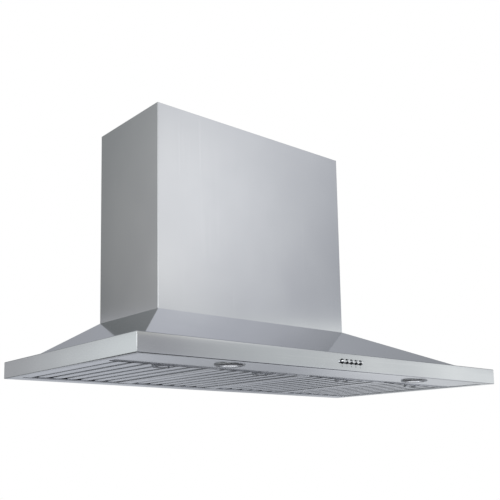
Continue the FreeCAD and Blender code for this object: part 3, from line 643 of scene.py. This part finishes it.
tray = {
    "sheet": 0.8 * mm, "bar": 10 * mm, "opening": 124.6 * mm, "lip": 4 * mm, "lipFold": 2.2 * mm,
    "fold": 0.9 * mm, "bead": 2 * mm, "bottom": 1 * mm, "drainHalf": 9 * mm, "drainTop": 8 * mm,
    "backWall": -52 * mm, "hookLow": 2.0 * mm, "hookHigh": 2.8 * mm, "beadFold": 0.5 * mm,
    "hookFold": 0.3 * mm,
}


def buildTray(name, middle, low, high):
    half, front, back, top = high[0] - middle, low[1], tray["backWall"], high[2]
    bottom = tray["bottom"]
    centre = (front + back) / 2
    shell = startBox(name, (-half, front, bottom), (half, back, top))
    pick(shell, "FACE", lambda at, way: abs(way.z) > 0.9)
    bpy.ops.mesh.delete(type="FACE")
    depthLeft = ((back - front) / 2 - tray["bar"]) / ((back - front) / 2)
    besideSlot = lambda at, way: near(at.z, bottom) and near(abs(at.x), tray["opening"]) and abs(way.y) > 0.9
    for level, inside in ((bottom, tray["opening"]), (top, half - tray["bar"])):
        pick(shell, "EDGE", lambda at, way: near(at.z, level) and abs(way.z) < 0.1)
        pull((0, 0, 0))
        spread((inside / half, depthLeft, 1), (0, centre, 0))
    pick(shell, "EDGE", besideSlot)
    pull((0, 0, tray["lip"]))
    pick(shell, "EDGE", besideSlot)
    bpy.ops.mesh.bevel(offset=tray["lipFold"], segments=4, affect="EDGES", clamp_overlap=True)
    pick(shell, "EDGE", lambda at, way: near(abs(at.x), half) and (abs(way.z) > 0.9 or near(at.z, bottom)))
    bpy.ops.mesh.bevel(offset=tray["fold"], segments=3, affect="EDGES", clamp_overlap=True)
    finishEdit()
    thicken(shell, tray["sheet"])
    pitch, reach = baffle["pitch"], tray["drainHalf"]
    drains = [startBox(
        "drain", (n * pitch - reach, back - 2 * mm, bottom + tray["sheet"]),
        (n * pitch + reach, back + 2 * mm, tray["drainTop"]),
    ) for n in range(-3, 4)]
    drain = joined("drain", drains)
    modify(shell, "BOOLEAN", object=drain, operation="DIFFERENCE", solver="EXACT")
    bpy.data.objects.remove(drain)
    beadY = front + tray["bead"]
    bead = startRound("bead", tray["bead"], (-half, beadY, bottom), (half, beadY, bottom), 20, "x")
    pick(bead, "FACE", lambda at, way: abs(way.x) > 0.9)
    bpy.ops.mesh.bevel(offset=tray["beadFold"], segments=2, affect="EDGES")
    finishEdit()
    hook = startBox("hook", (-half, back - tray["sheet"], tray["hookLow"]), (half, high[1], tray["hookHigh"]))
    pick(hook, "EDGE", lambda at, way: near(at.y, high[1]))
    bpy.ops.mesh.bevel(offset=tray["hookFold"], segments=2, affect="EDGES")
    finishEdit()
    whole = joined(name, [shell, bead, hook])
    smooth(whole, 45)
    return paint(whole, "traySteel")


def buildTrays():
    low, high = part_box("filter_frame_1")
    middle = (low[0] + high[0]) / 2
    model = buildTray("filterTray", middle, low, high)
    for number in range(1, 5):
        nodeLow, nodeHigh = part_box(f"filter_frame_{number}")
        piece = copied(model, f"filterTray_{number}", ((nodeLow[0] + nodeHigh[0]) / 2, 0, 0))
        fit(piece, f"filter_{number}", [f"filter_frame_{number}"])
    bpy.data.objects.remove(model)


buildTrays()
print("filter trays built")


# small printed marks under the buttons, plain shapes only

mark = {"proud": 0.06 * mm, "lift": 0.02 * mm, "drop": 10.6 * mm}


def flatMark(name, outline):
    deselectAll()
    bpy.ops.mesh.primitive_plane_add(size=1)
    piece = bpy.context.object
    piece.name = name
    mesh = bmesh.new()
    for shape in outline:
        corners = [mesh.verts.new((x * mm, 0, z * mm)) for x, z in shape]
        mesh.faces.new(corners)
    mesh.to_mesh(piece.data)
    mesh.free()
    return piece


def ringPieces(radius, width, start, sweep, steps):
    pieces = []
    for step in range(steps):
        a = math.radians(start + sweep * step / steps)
        b = math.radians(start + sweep * (step + 1) / steps)
        pieces.append([
            (radius * math.cos(a), radius * math.sin(a)), (radius * math.cos(b), radius * math.sin(b)),
            ((radius - width) * math.cos(b), (radius - width) * math.sin(b)),
            ((radius - width) * math.cos(a), (radius - width) * math.sin(a)),
        ])
    return pieces


def bar(x1, z1, x2, z2):
    return [(x1, z1), (x2, z1), (x2, z2), (x1, z2)]


def buildMarks():
    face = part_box("canopy_skirt")[0][1]
    shapes = [
        ringPieces(2.1, 0.6, 125, 290, 20) + [bar(-0.3, 0.3, 0.3, 2.4)],
        [bar(-2.2, -0.35, 2.2, 0.35)],
        [bar(-2.2, -0.35, 2.2, 0.35), bar(-0.35, 0.35, 0.35, 2.1), bar(-0.35, -2.1, 0.35, -0.35)],
        ringPieces(1.5, 1.5, 0, 360, 20),
        ringPieces(1.5, 0.5, -30, 240, 16) + [bar(-0.8, -2.3, 0.8, -1.2)],
    ]
    for number, outline in enumerate(shapes, start=1):
        low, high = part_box(f"push_button_{number}")
        x, z = (low[0] + high[0]) / 2, (low[2] + high[2]) / 2 - mark["drop"]
        piece = flatMark(f"buttonMark_{number}", outline)
        piece.location = (x, face + mark["lift"], z)
        settle(piece)
        modify(piece, "SOLIDIFY", thickness=mark["proud"], offset=1)
        activate(piece)
        bpy.ops.object.mode_set(mode="EDIT")
        bpy.ops.mesh.select_all(action="SELECT")
        bpy.ops.mesh.normals_make_consistent(inside=False)
        finishEdit()
        paint(piece, "mark")
        fit(piece, "hood")


buildMarks()
print("marks built")


# everything that keeps its CAD shape only changes its finish

nodeFinishes = {
    "slopeSteel": ["canopy_slopes"],
    "panelSteel": ["lamp_panel", "canopy_back"],
    "chimneySteel": ["chimney_cover", "upper_chimney_cover"],
    "galvanised": [
        "filter_side_rails", "filter_catches", "chimney_bracket", "air_box", "outlet_chamber", "duct_collar",
        "blower_housing", "inlet_rings", "motor_arms", "control_box", "control_cover", "junction_box",
        "junction_cover",
    ],
    "filterSteel": [
        f"{kind}_{n}" for kind in ("filter_frame", "filter_baffles", "handle_plate") for n in range(1, 5)
    ],
    "chrome": [f"filter_handle_{n}" for n in range(1, 5)],
    "zinc": ["motor_shaft", "damper_pin", "blower_screws"],
    "satinRing": ["lamp_bezel_left", "lamp_bezel_right"],
    "screwSteel": ["lamp_screws"],
    "aluminium": [
        "lamp_housing_left", "lamp_housing_right", "damper_flap_front", "damper_flap_rear", "capacitor",
        "impeller",
    ],
    "enamel": ["blower_motor"],
    "board": ["control_board"],
    "greyPlastic": ["led_driver", "cable_gland"],
    "blackPlastic": ["switch_housing", "button_guides"],
}


def paintNodes():
    for finish, names in nodeFinishes.items():
        for name in names:
            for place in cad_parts[name].material_slots:
                place.material = finishes[finish]
    for side in ("left", "right"):
        low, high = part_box(f"lamp_lens_{side}")
        finish = frostedLens(f"lampGlass_{side}", [(a + b) / 2 for a, b in zip(low, high)])
        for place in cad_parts[f"lamp_lens_{side}"].material_slots:
            place.material = finish


paintNodes()
print("CAD nodes painted")


# studio: a pale floor far below, and a dome that only lights and reflects; the background stays white

studio = {
    "floorLevel": -1.65,
    "floorY": -0.3,
    "floorRadius": 4.0,
    "domeRadius": 40.0,
    "flagLevel": -1.0,     # an unseen black card below, which darkens the rolled edges
    "flagSize": 3.0,
    "flagY": -0.5,
    "base": (0.157, 0.166, 0.165),
    "lobes": [
        # turn from +Y towards +X, height and spread in degrees, then the colour that it adds
        (150, 32, 16, (0.042, 0.034, 0.058)),
        (148, 20, 9, (0.203, 0.203, 0.172)),
        (146, 12, 8, (0.164, 0.160, 0.167)),
        (140, 25, 9, (0.441, 0.446, 0.465)),
        (165, 12, 14, (0.199, 0.193, 0.156)),
        (150, -12, 18, (0.359, 0.364, 0.414)),
        (115, -4, 18, (0.502, 0.506, 0.546)),
        (-48, 12, 12, (0.185, 0.172, 0.168)),
        (-80, 30, 30, (0.437, 0.442, 0.434)),
        (23, 19, 6, (0.040, 0.040, 0.048)),
        (26, -6, 7, (0.150, 0.155, 0.170)),
        (34, -7, 7, (0.014, 0.013, 0.009)),
        (59, -5, 8.5, (0.350, 0.355, 0.357)),
        (40, -25, 20, (0.313, 0.322, 0.364)),
        (40, 55, 30, (0.318, 0.325, 0.373)),
        (-128, 10, 12, (3.0, 3.0, 3.0)),
        (-158, 12, 26, (0.30, 0.31, 0.32)),
    ],
}


# two long low strip lights that stand close by and brighten the rim towards one end

strips = {
    "frontStrip": {
        "ends": [(-0.2, -1.97), (2.6, -1.19)], "heights": (-0.12, 0.48),
        "stops": [
            (0.08, (0.361, 0.365, 0.381)), (0.3, (0.554, 0.575, 0.574)), (0.5, (0.652, 0.669, 0.665)),
            (0.8, (0.86, 0.88, 0.87)),
        ],
        "strength": 1.089,
    },
    "sideStrip": {
        "ends": [(-1.07, 1.85), (-1.66, -0.1)], "heights": (-0.12, 0.48),
        "stops": [(0.2, (0.45, 0.45, 0.46)), (0.45, (0.55, 0.56, 0.57)), (0.8, (0.920, 0.960, 0.953))],
        "strength": 0.933,
    },
}


def buildStrip(name, strip):
    (x1, y1), (x2, y2) = strip["ends"]
    low, high = strip["heights"]
    deselectAll()
    bpy.ops.mesh.primitive_plane_add(size=1, location=((x1 + x2) / 2, (y1 + y2) / 2, (low + high) / 2))
    card = bpy.context.object
    card.name = name
    length = math.hypot(x2 - x1, y2 - y1)
    card.scale = (length, high - low, 1)
    card.rotation_euler = (math.pi / 2, 0, math.atan2(y2 - y1, x2 - x1))
    settle(card)
    s = Shader(name)
    along = s.node("ShaderNodeVectorMath", {"operation": "DOT_PRODUCT"}, {
        0: s.node("ShaderNodeVectorMath", {"operation": "SUBTRACT"}, {0: s.place(), 1: (x1, y1, 0)}),
        1: ((x2 - x1) / length ** 2, (y2 - y1) / length ** 2, 0),
    }, output="Value")
    glow = s.node("ShaderNodeValToRGB", {"stops": strip["stops"]}, {"Fac": along})
    light = s.node("ShaderNodeEmission", {}, {"Color": glow, "Strength": strip["strength"]})
    s.node("ShaderNodeOutputMaterial", {}, {"Surface": light})
    card.data.materials.append(s.material)
    card.visible_camera = False
    card.visible_diffuse = False
    return card


def buildStudio():
    deselectAll()
    bpy.ops.mesh.primitive_circle_add(
        vertices=96, radius=studio["floorRadius"], fill_type="NGON",
        location=(0, studio["floorY"], studio["floorLevel"]),
    )
    floor = settle(bpy.context.object)
    floor.name = "floor"
    s = Shader("paleFloor")
    mottle = s.noise(s.place(), 2.5, 4.0)
    floor.data.materials.append(s.surface({
        "Base Color": s.mix(mottle, (0.80, 0.80, 0.81), (0.84, 0.84, 0.85)), "Roughness": 0.6 + mottle * 0.1,
    }))
    deselectAll()
    bpy.ops.mesh.primitive_uv_sphere_add(
        segments=64, ring_count=32, radius=studio["domeRadius"], location=(0, 0, 0),
    )
    dome = settle(bpy.context.object)
    dome.name = "lightDome"
    s = Shader("domeLight")
    way = s.node("ShaderNodeVectorMath", {"operation": "NORMALIZE"}, {0: s.place()})
    glow = studio["base"]
    for turn, height, width, gain in studio["lobes"]:
        turn, height = math.radians(turn), math.radians(height)
        aim = (math.sin(turn) * math.cos(height), math.cos(turn) * math.cos(height), math.sin(height))
        facing = s.node("ShaderNodeVectorMath", {"operation": "DOT_PRODUCT"}, {
            0: way, 1: aim,
        }, output="Value")
        mask = s.between(facing, math.cos(math.radians(width * 1.8)), 1.0, 0, 1)
        glow = s.node("ShaderNodeVectorMath", {"operation": "MULTIPLY_ADD"}, {0: gain, 1: mask, 2: glow})
    light = s.node("ShaderNodeEmission", {}, {"Color": glow, "Strength": 1.0})
    s.node("ShaderNodeOutputMaterial", {}, {"Surface": light})
    dome.data.materials.append(s.material)
    dome.visible_camera = False
    deselectAll()
    bpy.ops.mesh.primitive_plane_add(
        size=studio["flagSize"], location=(0, studio["flagY"], studio["flagLevel"]),
    )
    flag = settle(bpy.context.object)
    flag.name = "darkFlag"
    s = Shader("darkFlag")
    flag.data.materials.append(s.surface({"Base Color": (0.012, 0.012, 0.014, 1), "Roughness": 0.9}))
    flag.visible_camera = False
    flag.visible_diffuse = False
    flag.visible_shadow = False
    [buildStrip(name, strip) for name, strip in strips.items()]
    world = bpy.data.worlds.new("whiteRoom")
    scene.world = world
    world.use_nodes = True
    world.node_tree.nodes["Background"].inputs["Color"].default_value = (1, 1, 1, 1)
    world.node_tree.nodes["Background"].inputs["Strength"].default_value = 1.0
    scene.view_settings.view_transform = "Standard"


buildStudio()
print("studio built")

deselectAll()
